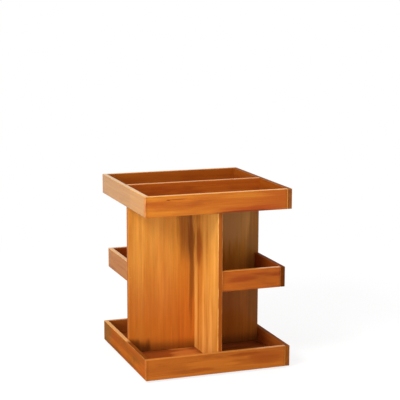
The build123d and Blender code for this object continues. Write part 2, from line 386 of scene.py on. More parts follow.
WANDER = Layer(150.0, 60.0, 1.7)
RIPPLE = Layer(110.0, 11.0, 4.1, 3.0)
STREAKS = Layer(260.0, 9.0, 8.9, 3.0)
VEINS = Layer(210.0, 1.7, 12.3, 3.0)
PATCHES = Layer(70.0, 9.0, 40.3)
POOLS = Layer(62.0, 12.0, 27.9, 3.0)
BLUSHES = Layer(95.0, 17.0, 33.3, 3.0)
STRANDS = Layer(230.0, 4.4, 47.9, 3.0)
FIBRES = Layer(44.0, 0.9, 15.7, 4.0)
PORES = Layer(6.0, 0.3, 21.1)
WEAR_AND_HIGHLIGHT = Layer(16.0, 9.0, 35.7, 3.0)

# How far a seed of 1 moves a board's wood in the noise, along and across the grain
SEED_SHIFT: Span = (7.3, 3.1)

# The levels at which these begin to show and show fully
LATE_WOOD: Span = (0.1, 0.85)
RING_END: Span = (1.0, 0.88)
STREAKS_SHOW: Span = (0.36, 0.64)
BLUSHES_SHOW: Span = (0.5, 0.72)
POOLS_SHOW: Span = (0.5, 0.74)
VEINS_SHOW: Span = (0.52, 0.68)
VEIN_PATCHES: Span = (0.42, 0.62)
STRAND_PATCHES: Span = (0.38, 0.6)
PORES_SHOW: Span = (0.6, 0.68)
PORE_STREAKS: Span = (0.7, 0.4)
WEAR_AND_HIGHLIGHT_SHOWS: Span = (0.42, 0.6)
MARK_SHOWS: Span = (1.0, 0.1)

# Where these fade in, in millimetres from a board's outside
SIDE_FADE: Span = (0.5, 0.1)
END_FADE: Span = (0.7, 0.1)
ARRIS_FADE: Span = (1.0, 0.3)
BARE_FADE: Span = (1.1, 0.7)
LAP_FADE: Span = (5.5, 1.0)
INNER_FADE: Span = (1.2, 0.3)
FOOT_FADE: Span = (20.0, 2.0)

# Half the length over which these change, in millimetres
SPLICE_BLUR = 0.2
REFLECTION_BLUR = 10.0
TOP_BLUR = 2.0


@dataclass(frozen=True)
class Mark:
    """A streak or patch in a board, natural or of painted light or shade: its middle, half length and
    half width in millimetres.

    Its strength says how much it covers, and a ragged one runs out into its neighbours along the
    fibres.
    """

    along: float
    across: float
    length: float
    width: float
    tint: Colour
    strength: float = 0.7
    ragged: float = 1.2


@dataclass(frozen=True)
class Board:
    """A wooden piece: how it lies, how it was sawn and what sets it apart from its neighbours.

    The seed says where in the noise its wood lies. The side of its thickness called inner faces into
    the tray: 1, -1, or 0 for neither. The shift moves the tree's heart along its width, and calm is
    the strength of its figure. It grows redder along the grain by its drift, or against the grain
    where that is negative, over a share of its length. The shades are the levels of light at its
    foot, where shade is painted, and on its end grain, which a sealed board has lacquered. Two
    lengths of wood meet at its splice, and past the start of its painted reflection its top is
    painted light, both along the grain.
    """

    node: str
    grain: Way
    width: Way
    seed: float
    stain: Stain
    cut: Cut = Cut.PLAIN
    inner: int = 0
    shift: float = 0.0
    marks: tuple[Mark, ...] = ()
    flank: Flank = Flank.PLAIN
    splice: Optional[float] = None
    calm: float = 1.0
    drift: float = 0.0
    drift_reach: float = 1.0
    foot_shade: float = 1.0
    end_shade: float = 0.6
    sealed: bool = False
    rubbed_from: Optional[float] = None

    @property
    def thickness(self) -> Way:
        """The direction that is neither the grain's nor the width's."""
        return Way(3 - self.grain.value - self.width.value)


@dataclass(frozen=True)
class WoodFinish:
    """Stained and lacquered softwood, solid through the board, so that end grain follows by itself.

    The ring, sway, ripple, splice step and widths are in millimetres, and the relief is in metres.
    """

    ring: float = 8.0
    ring_strength: float = 0.16
    sway: float = 14.0
    lean: float = 0.03
    ripple: float = 10.0
    streak: float = 0.6
    streak_width: float = 9.0
    vein: float = 0.3
    pool: float = 0.4
    pool_width: float = 12.0
    blush: float = 0.5
    strand: float = 0.12
    plain_strand: float = 0.35
    fibre: float = 0.36
    pore: float = 0.3
    mark_sway: float = 2.4
    splice_step: float = 61.0
    splice_shade: float = 0.88
    rubbed_cover: float = 0.8
    soaked_cover: float = 0.85
    soaked_ends: float = 0.4
    low_arris: float = 0.2
    edge_wear_and_highlight: float = 0.4
    least_wear_and_highlight: float = 0.4
    lap_shade: float = 0.2
    inner_red: float = 0.4
    inner_shade: float = 0.72
    roughness: float = 0.42
    vein_roughness: float = 0.2
    pore_roughness: float = 0.12
    arris_polish: float = 0.06
    gleam: float = 0.05
    lacquer: float = 0.8
    side_lacquer: float = 0.85
    bare_flank: float = 0.8
    bare_ends: float = 0.7
    bare_arris: float = 0.6
    lacquer_roughness: float = 0.16
    lacquer_index: float = 1.22
    relief: float = 0.00004
    ring_relief: float = 0.25
    fibre_relief: float = 0.5
    pore_relief: float = 0.6

    def material(self, board: Board) -> bpy.types.Material:
        """Make the board's own material.

        Args:
            board: The piece that it is for.

        Returns:
            The material.
        """
        material, g = new_graph(f"wood {board.node}")
        wood = Wood(g, board, self)
        wood.grow()
        wood.lay_marks()
        wood.finish_flanks()
        wood.finish_edges()
        wood.darken()
        matt = board.flank is Flank.DARK and board.width is Way.UP
        height = wood.late * self.ring_relief + wood.fibres * self.fibre_relief
        rough = self.roughness + (wood.veins - 0.5) * self.vein_roughness
        g.surface(
            Base_Color=wood.colour,
            Roughness=rough + wood.pores * self.pore_roughness - wood.arris * self.arris_polish,
            Normal=g.bump(height - wood.pores * self.pore_relief, self.relief),
            Specular_IOR_Level=0.0 if matt else self.gleam,
            Coat_Weight=wood.lacquer,
            Coat_Roughness=self.lacquer_roughness,
            Coat_IOR=self.lacquer_index,
        )
        return material

    def dress(self, board: Board) -> None:
        """Put the finish on a board."""
        paint(board.node, self.material(board))


class Wood:
    """One board's wood while it is finished: how it varies, and its colour and lacquer so far."""

    def __init__(self, g: Graph, board: Board, finish: WoodFinish) -> None:
        """Measure the board and lay its noise.

        Args:
            g: The graph of the board's material.
            board: The board.
            finish: What it is finished in.
        """
        self.g = g
        self.board = board
        self.finish = finish
        low, high = (Vector(corner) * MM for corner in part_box(board.node))
        self.half = (high - low) / 2
        xyz = g.parts(g.vector("SUBTRACT", g.place(), tuple((low + high) / 2)))
        ways = (board.grain, board.width, board.thickness)
        self.along, self.wide, self.thick = (xyz[way.value] for way in ways)
        self.near = [self.half[axis] - abs(xyz[axis]) for axis in range(3)]
        self.beyond: Optional[Signal] = None
        if board.splice is not None:
            self.beyond = self.along.step(board.splice - SPLICE_BLUR, board.splice + SPLICE_BLUR)
            self.along = self.along + self.beyond * finish.splice_step

        self.ripple = self.cloud(RIPPLE) - 0.5
        self.streaks = self.cloud(replace(STREAKS, breadth=finish.streak_width))
        self.veins = self.cloud(VEINS)
        self.patches = self.cloud(PATCHES)
        self.fibres = self.cloud(FIBRES)
        self.pores = self.cloud(PORES).step(*PORES_SHOW) * self.streaks.step(*PORE_STREAKS)
        self.late = self.rings()

        self.side = self.near[board.width.value].step(*SIDE_FADE)
        self.ends = self.near[board.grain.value].step(*END_FADE)
        near_x, near_y, near_z = self.near
        edge = near_x.least(near_y).most(near_x.most(near_y).least(near_z))
        self.arris = edge.step(*ARRIS_FADE)
        self.colour: Any = board.stain.body
        self.lacquer = finish.lacquer + self.side * (finish.side_lacquer - finish.lacquer)

    def cloud(self, layer: Layer) -> Signal:
        """Look up a layer of noise.

        Args:
            layer: The layer.

        Returns:
            The noise, between 0 and 1.
        """
        seed = self.board.seed
        where = self.g.node("ShaderNodeCombineXYZ", inputs={
            0: self.along / layer.length + (seed * SEED_SHIFT[0] + layer.offset),
            1: self.wide / layer.breadth + seed * SEED_SHIFT[1],
            2: self.thick / layer.breadth - layer.offset,
        })
        return self.g.noise(where, layer.detail)

    def rings(self) -> Signal:
        """Find the growth rings' dark late wood.

        Returns:
            How much of it is at a point, 0 to 1.
        """
        heart_wide, heart_thick = self.board.cut.value
        sway = (self.cloud(WANDER) - 0.5) * self.finish.sway
        aside = self.wide - (heart_wide + self.board.shift) + sway + self.along * self.finish.lean
        reach = self.g.radius(aside, self.thick + heart_thick) + self.ripple * self.finish.ripple
        turn = self.g.math("FRACT", reach / self.finish.ring)
        return turn.step(*LATE_WOOD) * turn.step(*RING_END)

    def tint(self, cover: Signal, colour: Any) -> None:
        """Cover the wood with a colour where the cover says so."""
        self.colour = self.g.blend(cover, self.colour, colour)

    def grow(self) -> None:
        """Colour the wood with its streaks, rings, blushes, pools, veins, pores and fibres."""
        finish, board, stain = self.finish, self.board, self.board.stain
        blushes = self.cloud(BLUSHES).step(*BLUSHES_SHOW)
        pools = self.cloud(replace(POOLS, breadth=finish.pool_width)).step(*POOLS_SHOW)
        veins = self.veins.step(*VEINS_SHOW) * self.patches.step(*VEIN_PATCHES)
        self.tint(self.streaks.step(*STREAKS_SHOW) * (finish.streak * board.calm), stain.light)
        self.tint(self.late * (finish.ring_strength * board.calm), stain.dark)
        self.tint(blushes * (finish.blush * board.calm), stain.red)
        self.tint(pools * (finish.pool * board.calm), stain.dark)
        self.tint(veins * (finish.vein * board.calm), stain.dark)
        self.tint(self.pores * finish.pore, stain.dark)
        if board.drift:
            reach = self.half[board.grain.value] * board.drift_reach
            reach = reach if board.drift > 0.0 else -reach
            self.tint(self.along.step(-reach, reach) * abs(board.drift), stain.red)
        lively = self.patches.step(*STRAND_PATCHES) + finish.plain_strand
        strands = (self.cloud(STRANDS) - 0.5) * lively * finish.strand
        self.colour = self.g.shade(self.colour, 1.0 + (self.fibres - 0.5) * finish.fibre + strands)

    def lay_marks(self) -> None:
        """Colour the board's marks."""
        for mark in self.board.marks:
            sway = self.ripple * (mark.width * self.finish.mark_sway)
            off_along = (self.along - mark.along) / mark.length
            off_wide = (self.wide - mark.across + sway) / mark.width
            away = off_along * off_along + off_wide * off_wide
            if mark.ragged:
                away = away + (self.veins - 0.5) * mark.ragged + self.ripple * mark.ragged
            self.tint(away.step(*MARK_SHOWS) * mark.strength, mark.tint)

    def finish_flanks(self) -> None:
        """Paint the narrow sides light, as wear and highlight, or leave them bare and dark, with stain or
        painted shade.
        """
        finish, board, stain = self.finish, self.board, self.board.stain
        if board.flank is Flank.RUBBED_AND_HIGHLIT:
            # Narrow sides painted light: partly wear, partly a painted highlight.
            rubbed: Any = stain.worn
            # A painted reflection: past a point along the grain the top is painted light, as if mirroring
            # the white studio, and before it dark, as if mirroring the partition.
            if board.rubbed_from is not None:
                light = self.along.step(board.rubbed_from - REFLECTION_BLUR, board.rubbed_from + REFLECTION_BLUR)
                rubbed = self.g.blend(light, stain.soaked, stain.worn)
            # A rim's lower side stays dark, with soaked stain and painted shade under it, and its lower
            # arrises get less painted highlight.
            if board.width is Way.UP:
                top = self.wide.step(-TOP_BLUR, TOP_BLUR)
                rubbed = self.g.blend(top, stain.soaked, rubbed)
                self.arris = self.arris * (finish.low_arris + top * (1.0 - finish.low_arris))
            self.tint(self.side * finish.rubbed_cover, rubbed)
        elif board.flank is Flank.DARK:
            # Dark narrow sides: soaked-in stain on the partitions' edges, painted shade on the right
            # rims' tops.
            self.tint(self.side * finish.soaked_cover, stain.soaked)
            bare = self.near[board.width.value].step(*BARE_FADE)
            self.lacquer = self.lacquer * (1.0 - bare * finish.bare_flank)

    def finish_edges(self) -> None:
        """Let open end grain soak up stain, and paint the edges lighter: partly wear, partly a painted
        highlight.
        """
        finish, stain = self.finish, self.board.stain
        if not self.board.sealed:
            self.lacquer = self.lacquer * (1.0 - self.ends * finish.bare_ends)
            self.tint(self.ends * finish.soaked_ends, stain.soaked)
        self.lacquer = self.lacquer * (1.0 - self.arris * finish.bare_arris)
        # Edges painted lighter: partly wear, partly a painted highlight on the rounded arrises.
        wear_and_highlight = finish.least_wear_and_highlight + self.cloud(WEAR_AND_HIGHLIGHT).step(*WEAR_AND_HIGHLIGHT_SHOWS)
        self.tint(self.arris * (finish.edge_wear_and_highlight * wear_and_highlight), stain.worn)

    def darken(self) -> None:
        """Darken the ends and the wood beyond a splice, and paint shade on the inner face and at the
        foot.
        """
        finish, board = self.finish, self.board
        if board.sealed:
            lap = self.near[board.grain.value].step(*LAP_FADE) * (1.0 - self.ends)
            shade = 1.0 - lap * finish.lap_shade
        else:
            shade = 1.0 - self.ends * (1.0 - board.end_shade)
        # Painted shade inside a tray: the inner face is darker and redder.
        if board.inner:
            face = self.half[board.thickness.value]
            shaded_inside = (self.thick * float(board.inner)).step(face - INNER_FADE[0], face - INNER_FADE[1])
            self.tint(shaded_inside * finish.inner_red, board.stain.red)
            shade = shade * (1.0 - shaded_inside * (1.0 - finish.inner_shade))
        if self.beyond is not None:
            shade = shade * (1.0 - self.beyond * (1.0 - finish.splice_shade))
        # Painted shade at the foot, where the board stands on the floor.
        if board.foot_shade < 1.0:
            end = self.half[board.grain.value]
            foot = self.along.step(FOOT_FADE[0] - end, FOOT_FADE[1] - end)
            shade = shade * (1.0 - foot * (1.0 - board.foot_shade))
        self.colour = self.g.shade(self.colour, shade)


GLOSSY = WoodFinish()
SATIN = replace(GLOSSY, lacquer=0.5, side_lacquer=0.6, blush=0.7)
FAINT_SATIN = replace(SATIN, lacquer=0.4)
RUBBED_GLOSS = replace(GLOSSY, side_lacquer=0.4)
DULL = replace(GLOSSY, lacquer=0.06, side_lacquer=0.4, pool=0.45, edge_wear_and_highlight=0.25, gleam=0.025)
MOTTLED = replace(
    DULL, lacquer=0.14, gleam=0.0, pool=0.8, streak=0.9, pool_width=26.0, ring_strength=0.04, vein=0.08,
)
FIGURED = WoodFinish(
    ring=27.0, ring_strength=0.09, sway=22.0, ripple=18.0, streak=0.9, streak_width=22.0, vein=0.12,
    pool=0.2, blush=0.25, strand=0.45, fibre=0.34, edge_wear_and_highlight=0.2, lacquer=0.8, lacquer_index=1.26,
)
FLOWING = replace(FIGURED, ring=15.0, ring_strength=0.1, streak=0.6, streak_width=30.0, edge_wear_and_highlight=0.7)
PANEL = WoodFinish(
    ring=14.0, ring_strength=0.12, pool=0.35, edge_wear_and_highlight=0.1, lacquer=0.4, side_lacquer=0.4,
)


# Metal, plastic and rubber


class Finish:
    """A finish that isn't wood's, and makes its own material."""

    def lay(self, g: Graph) -> None:
        """Build the finish in an empty graph."""
        raise NotImplementedError

    def material(self, name: str) -> bpy.types.Material:
        """Make the material.

        Args:
            name: What it is called.

        Returns:
            The material.
        """
        material, g = new_graph(name)
        self.lay(g)
        return material


@dataclass(frozen=True)
class PlatedSteel(Finish):
    """Plated steel with fine rolling lines, dull clouds and, where balls run, a bright track.

    The track's radius, which is 0 for none, and half its width are in millimetres. The lines and
    scuffs are as fine along x, y and z as rolling and scuffing say.
    """

    colour: Colour
    roughness: float = 0.34
    dull: Colour = tone(138, 138, 132)
    track: float = 0.0
    track_width: float = 2.4
    grease: Colour = tone(96, 84, 58)
    bare: Colour = tone(214, 214, 210)
    rolling: Triple = (0.02, 2.6, 2.6)
    scuffing: Triple = (1.9, 0.12, 0.4)
    relief: float = 0.00002

    def lay(self, g: Graph) -> None:
        """Build the finish.

        Args:
            g: The empty graph.
        """
        point = g.place()
        lines = g.noise(g.stretched(point, self.rolling), detail=3.0, rough=0.6)
        clouds = g.noise(point, detail=3.0, rough=0.6, scale=0.09)
        flecks = g.noise(point, scale=1.4)
        scuffs = g.noise(g.stretched(point, self.scuffing)).step(0.66, 0.72)
        colour = g.blend(clouds.step(0.35, 0.7) * 0.5, self.colour, self.dull)
        colour = g.shade(colour, 0.9 + lines * 0.2)
        rough = self.roughness + (clouds - 0.5) * 0.3 + (lines - 0.5) * 0.12 + scuffs * 0.1
        if self.track:
            x, y, _ = g.parts(point)
            away = abs(g.radius(x, y) - self.track)
            worn = away.step(self.track_width, self.track_width * 0.5)
            film = away.step(self.track_width * 3.2, self.track_width) * (0.3 + clouds * 0.6)
            colour = g.blend(film * 0.5, colour, self.grease)
            colour = g.blend(worn * 0.7, colour, self.bare)
            rough = rough - worn * 0.14
        g.surface(
            Base_Color=colour,
            Metallic=1.0,
            Roughness=rough.most(0.12),
            Normal=g.bump(lines * 0.6 + flecks * 0.4 - scuffs * 0.5, self.relief),
        )


@dataclass(frozen=True)
class TouchedSteel(Finish):
    """Pin heads touched in with the stain of the wood round them, and rubbed bare in specks."""

    colour: Colour
    bare_tone: Colour = tone(176, 150, 120)
    roughness: float = 0.55
    relief: float = 0.00003

    def lay(self, g: Graph) -> None:
        """Build the finish.

        Args:
            g: The empty graph.
        """
        film = g.noise(g.place(), detail=3.0, rough=0.6, scale=0.9)
        bare = film.step(0.7, 0.76)
        g.surface(
            Base_Color=g.blend(bare * 0.6, g.shade(self.colour, 0.84 + film * 0.2), self.bare_tone),
            Metallic=bare * 0.5,
            Roughness=self.roughness - bare * 0.2,
            Normal=g.bump(film, self.relief),
            Specular_IOR_Level=0.1,
        )


@dataclass(frozen=True)
class PolishedBall(Finish):
    """Hardened balls with the thin film of grease that they run in."""

    steel: Colour = tone(226, 226, 224)
    grease: Colour = tone(176, 164, 132)
    roughness: float = 0.07

    def lay(self, g: Graph) -> None:
        """Build the finish.

        Args:
            g: The empty graph.
        """
        film = g.noise(g.place(), scale=0.7).step(0.4, 0.7)
        g.surface(
            Base_Color=g.blend(film * 0.4, self.steel, self.grease),
            Metallic=1.0,
            Roughness=self.roughness + film * 0.16,
        )


@dataclass(frozen=True)
class Nylon(Finish):
    """Natural moulded nylon, a little yellowed, with the mould's fine texture."""

    colour: Colour = tone(226, 218, 196)
    aged: Colour = tone(206, 188, 146)
    roughness: float = 0.42
    relief: float = 0.00004
    glow_depth: float = 0.002

    def lay(self, g: Graph) -> None:
        """Build the finish.

        Args:
            g: The empty graph.
        """
        point = g.place()
        age = g.noise(point, detail=3.0, rough=0.6, scale=0.12)
        grit = g.noise(point, scale=3.0)
        g.surface(
            Base_Color=g.shade(g.blend(age.step(0.4, 0.7), self.colour, self.aged), 0.94 + grit * 0.1),
            Roughness=self.roughness + (grit - 0.5) * 0.2,
            Normal=g.bump(grit, self.relief),
            Subsurface_Weight=0.15,
            Subsurface_Scale=self.glow_depth,
        )


@dataclass(frozen=True)
class Rubber(Finish):
    """Black moulded rubber with turned rings on it and dust where it touches the table.

    The feet's centres lie as far from the axis along x as along y. That distance and the pitch of the
    rings are in millimetres.
    """

    centres: float
    ring_pitch: float = 1.1
    colour: Colour = tone(34, 33, 32)
    dusty: Colour = tone(112, 106, 98)
    dust_height: float = 0.7
    roughness: float = 0.72
    relief: float = 0.00008

    def lay(self, g: Graph) -> None:
        """Build the finish.

        Args:
            g: The empty graph.
        """
        point = g.place()
        x, y, z = g.parts(point)
        out = g.radius(abs(x) - self.centres, abs(y) - self.centres)
        rings = g.math("SINE", out * (2 * pi / self.ring_pitch)) * 0.5 + 0.5
        grit = g.noise(point, detail=3.0, rough=0.6, scale=2.2)
        dust = z.step(self.dust_height, 0.0) * grit.step(0.42, 0.7)
        g.surface(
            Base_Color=g.blend(dust * 0.6, g.shade(self.colour, 0.7 + grit * 0.6), self.dusty),
            Roughness=self.roughness + (grit - 0.5) * 0.3,
            Normal=g.bump(rings * 0.5 + grit * 0.5, self.relief),
            Specular_IOR_Level=0.35,
        )


@dataclass(frozen=True)
class Beech(Finish):
    """Plain turned beech with short flecks, which run along y as the dowels do."""

    colour: Colour = tone(214, 176, 128)
    fleck: Colour = tone(150, 104, 62)
    grain: Triple = (3.0, 0.4, 3.0)
    roughness: float = 0.6
    relief: float = 0.00003

    def lay(self, g: Graph) -> None:
        """Build the finish.

        Args:
            g: The empty graph.
        """
        point = g.place()
        flecks = g.noise(g.stretched(point, self.grain)).step(0.56, 0.66)
        tint = g.noise(point, scale=0.2)
        g.surface(
            Base_Color=g.blend(flecks * 0.5, g.shade(self.colour, 0.85 + tint * 0.3), self.fleck),
            Roughness=self.roughness + (tint - 0.5) * 0.2,
            Normal=g.bump(flecks, self.relief),
        )


BRASS = PlatedSteel(tone(168, 126, 66), dull=tone(126, 92, 50))
ZINC = PlatedSteel(tone(190, 192, 194))
BRIGHT_ZINC = PlatedSteel(tone(206, 206, 202), 0.28)
PLAIN_STEEL = PlatedSteel(tone(168, 168, 166), 0.3)


# Sub-assemblies


@dataclass(frozen=True)
class Tray:
    """A square tray of four rims, its floor and the fasteners in them.

    The left rim has its own stain, finish and marks, and a splice. The plain marks and the drift are
    the front rim's, and the end shade is the side rims'. The tree's heart is moved by heart_start in
    the front rim, and by heart_step more for each step of the seed, in millimetres.
    """

    name: str
    seed: float
    stain: Stain
    left_stain: Stain
    finish: WoodFinish
    left_finish: WoodFinish
    marks: tuple[Mark, ...] = ()
    splice: Optional[float] = None
    drift: float = 0.0
    end_shade: float = 0.6
    left_calm: float = 0.8
    left_reflection_from: Optional[float] = None
    left_marks: tuple[Mark, ...] = ()
    floor_marks: tuple[Mark, ...] = ()
    heart_start: float = -12.0
    heart_step: float = 9.0

    def rim(self, side: str, along: Way, step: float, cut: Cut, inner: int, **more: Any) -> Board:
        """Choose the wood of one rim.

        Args:
            side: The rim's side of the tray.
            along: The way that its grain runs.
            step: How far its wood lies from the front rim's in the noise.
            cut: How it was sawn.
            inner: The side of its thickness that faces into the tray.
            **more: What else sets it apart.

        Returns:
            The rim's board.
        """
        settings = {"stain": self.stain, "flank": Flank.RUBBED_AND_HIGHLIT, **more}
        return Board(
            f"{self.name}_rim_{side}", along, Way.UP, self.seed + step, cut=cut, inner=inner,
            shift=step * self.heart_step + self.heart_start, **settings,
        )

    def dress(self) -> None:
        """Put the finishes on."""
        # A light strip at the front rim's right end: partly wear, partly a painted highlight on the
        # arris.
        tip_wear_and_highlight = Mark(116.0, 0.0, 1.4, 60.0, self.stain.worn, 0.8, 0.0)
        for board in (
            self.rim(
                "front", Way.ACROSS, 0.0, Cut.PLAIN, 1, marks=(*self.marks, tip_wear_and_highlight), drift=self.drift,
                sealed=True,
            ),
            # The right rim's narrow sides are dark: painted shade, as light falls from the left.
            self.rim("right", Way.DEEP, 0.83, Cut.RIFT, -1, flank=Flank.DARK, end_shade=self.end_shade),
            self.rim("back", Way.ACROSS, 1.61, Cut.PLAIN, -1, sealed=True),
        ):
            self.finish.dress(board)
        self.left_finish.dress(self.rim(
            "left", Way.DEEP, 2.47, Cut.RIFT, 1, stain=self.left_stain, calm=self.left_calm,
            splice=self.splice, rubbed_from=self.left_reflection_from, end_shade=self.end_shade,
            marks=self.left_marks,
        ))
        PANEL.dress(Board(
            f"{self.name}_floor", Way.ACROSS, Way.DEEP, self.seed + 3.3, UMBER, marks=self.floor_marks,
        ))
        paint(f"{self.name}_rim_pins", TouchedSteel(self.stain.body).material(f"{self.name} rim pins"))
        paint(f"{self.name}_floor_screws", BRASS.material(f"{self.name} floor screws"))


def base_tray() -> Tray:
    """Choose the base tray's finishes: dull chestnut with a mossy, mottled left rim.

    Returns:
        The base tray.
    """
    dawn = Mark(-10.0, 0.0, 48.0, 13.0, CHESTNUT.light, 0.6)
    dusk = Mark(84.0, 4.0, 38.0, 13.0, CHESTNUT.red, 0.7)
    ember = Mark(46.0, 10.5, 36.0, 4.5, tone(140, 56, 16), 0.6)
    glint = Mark(26.0, -2.5, 18.0, 2.5, CHESTNUT.light, 0.7)
    smudge = Mark(-23.0, -7.5, 24.0, 3.0, CHESTNUT.red, 0.6)
    moss = Mark(104.0, -2.0, 44.0, 30.0, tone(136, 94, 42), 0.65)
    # A painted pool of light on the floor beside the front partition.
    floor_light_pool = Mark(-26.0, -38.0, 28.0, 48.0, tone(214, 134, 62), 0.8, 0.4)
    # The left rim's top is painted dark nearer the front and light further back: a painted reflection.
    return Tray(
        "base", 2.1, CHESTNUT, DRAB, DULL, MOTTLED, marks=(dawn, dusk, ember, glint, smudge),
        end_shade=0.8, left_calm=1.2, left_reflection_from=-18.0, left_marks=(moss,), floor_marks=(floor_light_pool,),
    )


def top_tray() -> Tray:
    """Choose the top tray's finishes: glossy amber with a spliced tan rim on the left.

    Returns:
        The top tray.
    """
    knot = Mark(-80.0, 9.3, 4.0, 1.5, RUSSET.dark, 0.95, 0.0)
    dash = Mark(-66.0, 9.8, 20.0, 1.0, AMBER.dark, 0.9, 0.0)
    bloom = Mark(52.0, 10.0, 62.0, 5.5, AMBER.light, 0.55)
    foxing = Mark(52.0, -12.0, 66.0, 8.0, AMBER.red, 0.9)
    # Painted shade along the front rim's lower edge.
    lower_edge_shade = Mark(42.0, -15.0, 54.0, 5.0, RUSSET.dark, 0.8)
    return Tray(
        "top", 5.8, AMBER, TAN, RUBBED_GLOSS, GLOSSY, marks=(knot, dash, bloom, foxing, lower_edge_shade),
        splice=-43.5, drift=0.6, end_shade=0.66,
    )


@dataclass(frozen=True)
class TopDivider:
    """The board across the middle of the top tray."""

    seed: float = 11.9

    def dress(self) -> None:
        """Put the finish on."""
        RUBBED_GLOSS.dress(Board(
            "top_divider", Way.ACROSS, Way.UP, self.seed, RUSSET, Cut.RIFT, flank=Flank.RUBBED_AND_HIGHLIT,
        ))


@dataclass(frozen=True)
class Shelf:
    """A corner shelf: the rim along the front or back, the side rim, the floor and its pins.

    The marks are the long rim's. The side of its thickness called facing faces into the shelf, and
    its tree's heart is moved by heart_shift, in millimetres. The end shade is the side rim's.
    """

    name: str
    long_rim: str
    seed: float
    facing: int
    side_stain: Stain
    side_finish: WoodFinish
    side_flank: Flank
    marks: tuple[Mark, ...] = ()
    end_shade: float = 0.6
    heart_shift: float = -6.0

    def dress(self) -> None:
        """Put the finishes on."""
        SATIN.dress(Board(
            f"{self.name}_{self.long_rim}_rim", Way.ACROSS, Way.UP, self.seed, RUSSET, Cut.PLAIN,
            self.facing, self.heart_shift, marks=self.marks, flank=Flank.RUBBED_AND_HIGHLIT, sealed=True,
        ))
        self.side_finish.dress(Board(
            f"{self.name}_side_rim", Way.DEEP, Way.UP, self.seed + 0.9, self.side_stain, Cut.RIFT,
            -self.facing, flank=self.side_flank, calm=0.8, end_shade=self.end_shade,
        ))
        PANEL.dress(Board(f"{self.name}_floor", Way.ACROSS, Way.DEEP, self.seed + 1.7, UMBER))
        paint(f"{self.name}_pins", TouchedSteel(GOLD.body).material(f"{self.name} pins"))


@dataclass(frozen=True)
class Partitions:
    """The long partition and the two half partitions that join the trays."""

    seed: float = 23.4
    front_step: float = 1.3
    rear_step: float = 2.9

    def dress_long(self) -> None:
        """Put the finish on the long partition, which grows redder towards its foot, with painted shade
        at its foot and corners and a painted patch of light in the right bay.
        """
        # Painted shade along the inner corner, under the tray by the corner, at the right end and by the
        # left rim, and a painted patch of light in the right bay.
        corner_shade = Mark(36.0, -5.0, 150.0, 8.0, tone(118, 62, 16), 0.75, 0.6)
        nook_shade = Mark(92.0, -13.0, 84.0, 20.0, tone(122, 60, 26), 0.6, 0.8)
        bay_light_patch = Mark(84.0, 54.0, 66.0, 60.0, tone(232, 164, 88), 0.7)
        dusk = Mark(0.0, 113.0, 170.0, 24.0, tone(128, 78, 36), 0.6, 0.8)
        corner = Mark(-119.0, -108.0, 21.0, 32.0, tone(100, 50, 14), 0.75, 0.15)
        FIGURED.dress(Board(
            "long_partition", Way.UP, Way.ACROSS, self.seed, GOLD, Cut.RIFT, calm=0.85, drift=-0.7,
            drift_reach=0.6, foot_shade=0.5, marks=(corner_shade, nook_shade, bay_light_patch, dusk, corner), flank=Flank.DARK,
        ))

    def dress_halves(self) -> None:
        """Put the finishes on the half partitions, with painted light at their tops and painted shade
        under the tray on the front one.
        """
        glow = Mark(-23.0, 49.0, 130.0, 10.0, HONEY.light, 0.6)
        # Painted light at the top, where the tray's shadow falls, and painted shade under the tray by the
        # corner.
        painted_top_light = Mark(106.0, -14.0, 62.0, 34.0, HONEY.light, 0.6)
        tray_shade = Mark(120.0, 38.0, 44.0, 22.0, tone(156, 84, 26), 0.6)
        trail = Mark(22.0, 29.0, 90.0, 14.0, HONEY.red, 0.3)
        scar = Mark(50.0, 34.0, 42.0, 17.0, tone(150, 70, 18), 0.75)
        furrow = Mark(-66.0, 36.0, 90.0, 6.0, tone(168, 90, 28), 0.6, 0.3)
        ray = Mark(-96.0, 13.0, 110.0, 8.0, tone(252, 182, 92), 0.6, 0.3)
        vale = Mark(-84.0, -5.0, 62.0, 5.0, tone(190, 106, 38), 0.45, 0.3)
        beam = Mark(-104.0, -20.0, 106.0, 12.0, tone(252, 178, 92), 0.6, 0.3)
        front = (glow, painted_top_light, tray_shade, trail, scar, furrow, ray, vale, beam)
        for name, step, marks in (
            ("front_partition", self.front_step, front),
            ("rear_partition", self.rear_step, (glow, painted_top_light)),
        ):
            FLOWING.dress(Board(
                name, Way.UP, Way.DEEP, self.seed + step, HONEY, Cut.QUARTER, marks=marks,
                flank=Flank.DARK, drift=-0.15,
            ))

    def dress(self) -> None:
        """Put the finishes on."""
        self.dress_long()
        self.dress_halves()
        paint("partition_dowels", Beech().material("beech dowels"))


@dataclass(frozen=True)
class Turntable:
    """Two pressed plates with caged balls between them, a pivot rivet and rubber feet.

    The balls' circle and the feet's distance from the axis along x and y are in millimetres.
    """

    race_radius: float = 50.0
    foot_offset: float = 47.87

    def dress(self) -> None:
        """Put the finishes on."""
        plates = replace(ZINC, track=self.race_radius).material("zinc plate")
        nylon = Nylon().material("natural nylon")
        for name, material in (
            ("turntable_top_plate", plates),
            ("turntable_bottom_plate", plates),
            ("turntable_screws", BRIGHT_ZINC.material("zinc screws")),
            ("pivot_rivet", PLAIN_STEEL.material("plain rivet steel")),
            ("bearing_balls", PolishedBall().material("polished balls")),
            ("ball_cage", nylon),
            ("pivot_washer", nylon),
            ("rubber_feet", Rubber(self.foot_offset).material("black rubber")),
        ):
            paint(name, material)


# Studio


